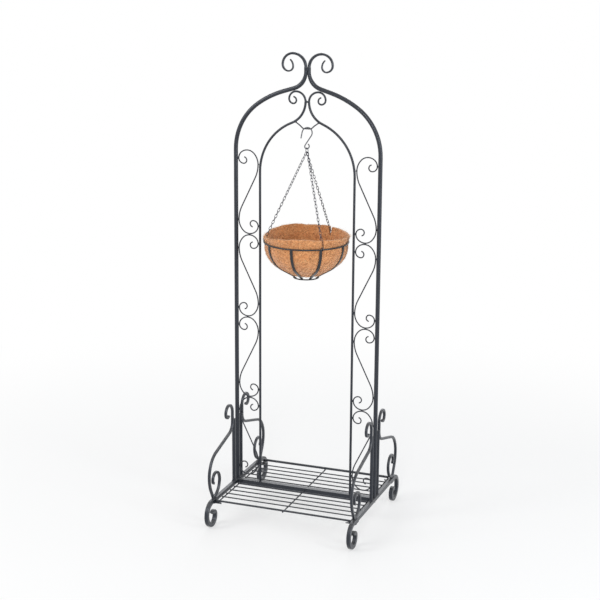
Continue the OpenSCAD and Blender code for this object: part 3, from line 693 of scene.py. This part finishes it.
# %% [markdown]
# ### Slits for the chains
# Each chain leans inwards from the wire ring, so it goes through the collar. A liner is snipped
# there with shears, which leaves a narrow wedge, wide at the rim and little wider than the wire of
# the chain's last ring at its foot. A cube whose underside is narrowed stands in for the shears,
# and a Boolean modifier takes it out of the mat.

# %% Find where the chains go through
CHAINS = ("chain_front", "chain_left", "chain_right")
LAST_RING = 0.012


def lower_end(name):
    """The middle of a chain's lowest ring."""
    points = [v.co for v in stand[name].data.vertices]
    lowest = min(p.z for p in points)
    near = [p for p in points if p.z < lowest + LAST_RING]
    return sum(near, Vector()) / len(near)


chain_azimuths = []
for name in CHAINS:
    end = lower_end(name)
    chain_azimuths.append(math.atan2(end.y, end.x))
print("chains at", [round(math.degrees(azimuth)) for azimuth in chain_azimuths], "degrees")


# %% A helper for modifiers
def apply_modifier(piece, kind, **settings):
    """Adds a modifier, sets it and applies it."""
    leave_all()
    bpy.context.view_layer.objects.active = piece
    piece.select_set(True)
    modifier = piece.modifiers.new(kind.lower(), kind)
    for key, value in settings.items():
        setattr(modifier, key, value)
    bpy.ops.object.modifier_apply(modifier=modifier.name)


# %% Snip the collar
SLIT_WIDTH = 0.0095
SLIT_FOOT = 0.38
SLIT_BELOW_RING = 0.004
SHEARS_ABOVE, SHEARS_REACH = 0.01, 0.05
slit_low = ring_low.z - SLIT_BELOW_RING
for azimuth in chain_azimuths:
    leave_all()
    bpy.ops.mesh.primitive_cube_add(size=1)
    shears = bpy.context.object
    bpy.ops.object.mode_set(mode="EDIT")
    bpy.ops.mesh.select_all(action="DESELECT")
    wedge = bmesh.from_edit_mesh(shears.data)
    for face in wedge.faces:
        face.select = face.normal.z < -0.5
    bmesh.update_edit_mesh(shears.data)
    bpy.ops.transform.resize(value=(1, SLIT_FOOT, 1), center_override=(0, 0, -0.5))
    bpy.ops.object.mode_set(mode="OBJECT")
    shears.matrix_world = (
        Matrix.Rotation(azimuth, 4, "Z")
        @ Matrix.Translation((ring_radius, 0, (slit_low + collar_top + SHEARS_ABOVE) / 2))
        @ Matrix.Diagonal((SHEARS_REACH, SLIT_WIDTH, collar_top + SHEARS_ABOVE - slit_low, 1))
    )
    apply_modifier(coir_mat, "BOOLEAN", object=shears, operation="DIFFERENCE", solver="EXACT")
    bpy.data.objects.remove(shears)
print("snipped", len(chain_azimuths), "slits")

# %% [markdown]
# ### Push the mat about
# A remesh gives even facets of about 2 mm. The mat then bulges out between ribs, its rim rises
# and falls, sags at the two sides and folds out beside one chain. Each of these is a rule that says
# how far a point moves for its angle round the basket, so no point has to be moved by hand.

# %% Remesh the bowl
FACET = 0.0021
apply_modifier(coir_mat, "REMESH", mode="VOXEL", voxel_size=FACET, adaptivity=0)
print("remeshed", len(coir_mat.data.polygons), "faces")

# %% Say how the rim runs
RIM_LIFT = 0.0025
RIM_WAVE = 0.0038
WAVES = ((3, 0.4, 0.3), (5, 1.9, 0.32), (9, 0.7, 0.22), (17, 2.6, 0.16))
SIDE_SAG = 0.016
SIDE_AT, SIDE_NARROWS = math.radians(22), 1.6
FOLD_OUT = 0.0055
FOLD_AT, FOLD_WIDTH = math.radians(38), math.radians(26)


def rim_rise(angle):
    """Rise of the rim round the basket: low at its two sides, with a few shorter waves on top."""
    wavy = RIM_WAVE * sum(share * math.sin(count * angle + start) for count, start, share in WAVES)
    side = (1 + math.cos(2 * (angle - SIDE_AT))) / 2
    return RIM_LIFT - SIDE_SAG * side ** SIDE_NARROWS + wavy


def fold_out(angle):
    """How far the rim is folded outwards, beside one of the chains."""
    away = (angle - FOLD_AT + math.pi) % (2 * math.pi) - math.pi
    return FOLD_OUT * math.exp(-((away / FOLD_WIDTH) ** 2))


rises = [rim_rise(math.radians(degrees)) for degrees in range(0, 360, 5)]
print("rim rises", round(min(rises), 4), "to", round(max(rises), 4))

# %% Swell and fold the mat
RIB_COUNT = 9
FIRST_RIB = math.radians(30)
BULGE = 0.0035
for vertex in coir_mat.data.vertices:
    place = vertex.co
    angle = math.atan2(place.y, place.x)
    between = (1 - math.cos(RIB_COUNT * (angle - FIRST_RIB))) / 2
    up = (place.z - liner_floor) / (ring_height - liner_floor)
    swell = BULGE * between * max(0.0, math.sin(math.pi * min(max(up, 0), 1)))
    radius = math.hypot(place.x, place.y)
    above = max(0.0, (place.z - ring_high.z) / (collar_top - ring_high.z))
    swell += fold_out(angle) * above ** 2
    if radius > 1e-6:
        place.x += place.x / radius * swell
        place.y += place.y / radius * swell
    place.z += above * rim_rise(angle)
    vertex.co = place
print("bulges", RIB_COUNT, "times between the ribs")

# %% [markdown]
# ### Roughen the mat
# Pressed coir is lumpy to the thumb and rough to the eye. Two displacements along the normals give
# that, both from a cloud texture: clumps about a centimetre across, and the tangle of the fibres.

# %% Roughen the mat
CLUMPS = ("clumps", 0.014, 0.0022, 2)
TANGLE = ("tangle", 0.0035, 0.0014, 4)
PRESSED_IN = 0.62
for name, size, depth, detail in (CLUMPS, TANGLE):
    texture = bpy.data.textures.new(name, "CLOUDS")
    texture.noise_scale = size
    texture.noise_depth = detail
    texture.noise_basis = "IMPROVED_PERLIN"
    roughen = {"texture": texture, "strength": depth, "mid_level": PRESSED_IN, "texture_coords": "LOCAL"}
    apply_modifier(coir_mat, "DISPLACE", **roughen)
bpy.context.view_layer.objects.active = coir_mat
leave_all()
coir_mat.select_set(True)
bpy.ops.object.shade_smooth()
print("mat", len(coir_mat.data.polygons), "faces")

# %% [markdown]
# ### Loose fibres
# Up close the mat is all hair. One fibre is modelled as a thin three-sided bar and repeated over
# the mat by the thousand. Each is turned its own way, curled, drawn thin at its ends, and laid flat
# with its ends lifting. Hair curves would look as fine, but a mesh can be handed on as it is.

# %% Model one fibre
FIBRE_STEPS = 4
leave_all()
bpy.ops.mesh.primitive_cylinder_add(
    vertices=3, radius=1, depth=1, end_fill_type="NGON", rotation=(0, math.pi / 2, 0)
)
fibre = bpy.context.object
bpy.ops.object.transform_apply(location=False, rotation=True, scale=False)
bpy.ops.object.mode_set(mode="EDIT")
shape = bmesh.from_edit_mesh(fibre.data)
bpy.ops.mesh.select_all(action="DESELECT")
for edge in shape.edges:
    edge.select = abs(edge.verts[0].co.x - edge.verts[1].co.x) > 0.5
bmesh.update_edit_mesh(fibre.data)
bpy.ops.mesh.subdivide(number_cuts=FIBRE_STEPS - 1)
bpy.ops.object.mode_set(mode="OBJECT")
fibre_points = [v.co.copy() for v in fibre.data.vertices]
fibre_faces = [tuple(f.vertices) for f in fibre.data.polygons]
bpy.data.objects.remove(fibre)
print("fibre", len(fibre_points), "points", len(fibre_faces), "faces")


# %% Lay one fibre
END_THINNING = 0.6
CURL_MIDDLE = 0.4
RIDES_AT = 1.2


def lay_fibre(place, out, along, length, thick, curl, lift):
    """Points of one fibre that lies on the mat at a place, with its middle pressed down."""
    side = out.cross(along).normalized()
    points = []
    for p in fibre_points:
        t = 2 * p.x
        taper = 1 - END_THINNING * t * t
        height = thick * RIDES_AT + lift * t * t
        across = curl * (t * t - CURL_MIDDLE) + p.y * thick * taper
        points.append(place + along * (p.x * length) + side * across + out * (height + p.z * thick * taper))
    return points


# %% Strew the fibres
LENGTHS = (0.009, 0.026)
THICKNESSES = (0.00014, 0.00026)
CURLS = (-0.0035, 0.0035)
LIFTS = (0.0001, 0.0028)
LYING = 0.7
draw = random.Random(11)


def lay_fibres(name, mat_faces, count):
    """Strews fibres evenly over some of the mat's faces, as one piece."""
    verts, faces = [], []
    for face in draw.choices(mat_faces, weights=[f.area for f in mat_faces], k=count):
        out = face.normal.normalized()
        any_way = Vector((draw.gauss(0, 1), draw.gauss(0, 1), draw.gauss(0, LYING)))
        along = (any_way - out * any_way.dot(out)).normalized()
        length, thick = draw.uniform(*LENGTHS), draw.uniform(*THICKNESSES)
        curl, lift = draw.uniform(*CURLS), draw.uniform(*LIFTS)
        start = len(verts)
        verts.extend(lay_fibre(face.center.copy(), out, along, length, thick, curl, lift))
        faces.extend(tuple(start + i for i in f) for f in fibre_faces)
    mesh = bpy.data.meshes.new(name)
    mesh.from_pydata([tuple(v) for v in verts], [], faces)
    mesh.validate()
    mesh.shade_smooth()
    fibres = bpy.data.objects.new(name, mesh)
    bpy.context.scene.collection.objects.link(fibres)
    print(name, count, "fibres", len(mesh.polygons), "faces")
    return fibres


def faces_outward(face):
    """True for the mat's outer side and its underside."""
    return face.normal.x * face.center.x + face.normal.y * face.center.y > 0 or face.normal.z < -0.5


FIBRES_OUTSIDE, FIBRES_INSIDE = 6000, 4000
outer_faces = [f for f in coir_mat.data.polygons if faces_outward(f)]
inner_faces = [f for f in coir_mat.data.polygons if not faces_outward(f)]
fibres_outside = lay_fibres("coir_fibres_outside", outer_faces, FIBRES_OUTSIDE)
fibres_inside = lay_fibres("coir_fibres_inside", inner_faces, FIBRES_INSIDE)

# %% [markdown]
# ### Coir finish
# Coir is a warm ginger brown. Its clumps go from dark rust to ginger: partly the mottling of the
# fibre, partly painted shade in the hollows of the clumps and painted light on their tops. There are
# clay-coloured patches and a few dark specks of pith. A ridged noise, pulled about by its own
# distortion, draws the tangled strands in pale straw and raises them. A picture of coir would fit
# one mat only, while noise has no seam and fits any.

# %% A helper for noises
def noise(tree, name, per_metre, detail=4.0, roughness=0.6, **more):
    """A noise over Object coordinates, with its size given as features per metre."""
    place = add_node(tree, "ShaderNodeTexCoord")
    more.update(Scale=per_metre, Detail=detail, Roughness=roughness)
    pattern = add_node(tree, "ShaderNodeTexNoise", name, **more)
    tree.links.new(place.outputs["Object"], pattern.inputs["Vector"])
    return pattern.outputs[0]


# %% Coir
# The dark rust and the ginger are the coir's own mottling and also stand in as painted shade and painted
# light on its clumps.
SHADED_RUST, LIT_GINGER, CLAY = (0.36, 0.125, 0.038), (0.84, 0.4, 0.155), (0.66, 0.26, 0.084)
STRAW, PITH = (0.95, 0.58, 0.27), (0.2, 0.07, 0.025)
STRAND_SHARE = 0.6
STRAND_DEPTH = 0.0012
coir, tree, skin = new_finish("coir", Metallic=0.0, Roughness=0.85, Specular_IOR_Level=0.25)
skin.inputs["Sheen Weight"].default_value = 0.35
skin.inputs["Sheen Roughness"].default_value = 0.6
clumps = noise(tree, "clumps", 170.0, 6.0, 0.7, Distortion=1.2)
patches = noise(tree, "patches", 45.0)
strands = noise(tree, "strands", 260.0, 7.0, 0.62, Distortion=2.2, noise_type="RIDGED_MULTIFRACTAL")
specks = add_node(tree, "ShaderNodeMapRange", "specks", From_Min=0.58, From_Max=0.68, To_Max=0.65)
tree.links.new(noise(tree, "pith", 430.0, 2.0, 0.5), specks.inputs["Value"])
# The clump noise also shapes the bump, so its dark rust end is painted shade in the hollows and its ginger
# end is painted light on the tops.
base = tint(tree, shift(tree, clumps, -1.9, 2.9), SHADED_RUST, LIT_GINGER)
base = tint(tree, shift(tree, patches, -1.4, 1.8), base, CLAY)
base = tint(tree, shift(tree, strands, -0.22, 0.85), base, STRAW)
base = tint(tree, specks.outputs[0], base, PITH)
tree.links.new(base, skin.inputs["Base Color"])
height = add_node(tree, "ShaderNodeMath", operation="MULTIPLY_ADD")
height.inputs[1].default_value = STRAND_SHARE
tree.links.new(strands, height.inputs[0])
tree.links.new(clumps, height.inputs[2])
raise_grain(tree, skin, height.outputs[0], STRAND_DEPTH, 0.8)
print("coir", len(tree.nodes), "nodes")

# %% Loose hair
DARK_HAIR, PALE_HAIR = (0.44, 0.17, 0.055), (0.93, 0.6, 0.31)
hair, tree, skin = new_finish("coir_hair", Metallic=0.0, Roughness=0.6, Specular_IOR_Level=0.35)
kinds = shift(tree, noise(tree, "kinds", 120.0, 3.0, 0.7), -1.3, 2.3)
shade = tint(tree, kinds, DARK_HAIR, PALE_HAIR)
tree.links.new(shade, skin.inputs["Base Color"])
print("hair", len(tree.nodes), "nodes")

# %% [markdown]
# ### Hang the liner in the basket
# The mat and its hair move with the basket, so they ride on its body. The mat takes the place of the
# plain liner from CAD, which is hidden from here on.

# %% Hang the liner
coir_mat.data.materials.append(coir)
for fibres in (fibres_outside, fibres_inside):
    fibres.data.materials.append(hair)
for piece in (coir_mat, fibres_outside, fibres_inside):
    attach(piece, "basket")
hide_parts("coir_liner")
print("the liner rides on the basket")
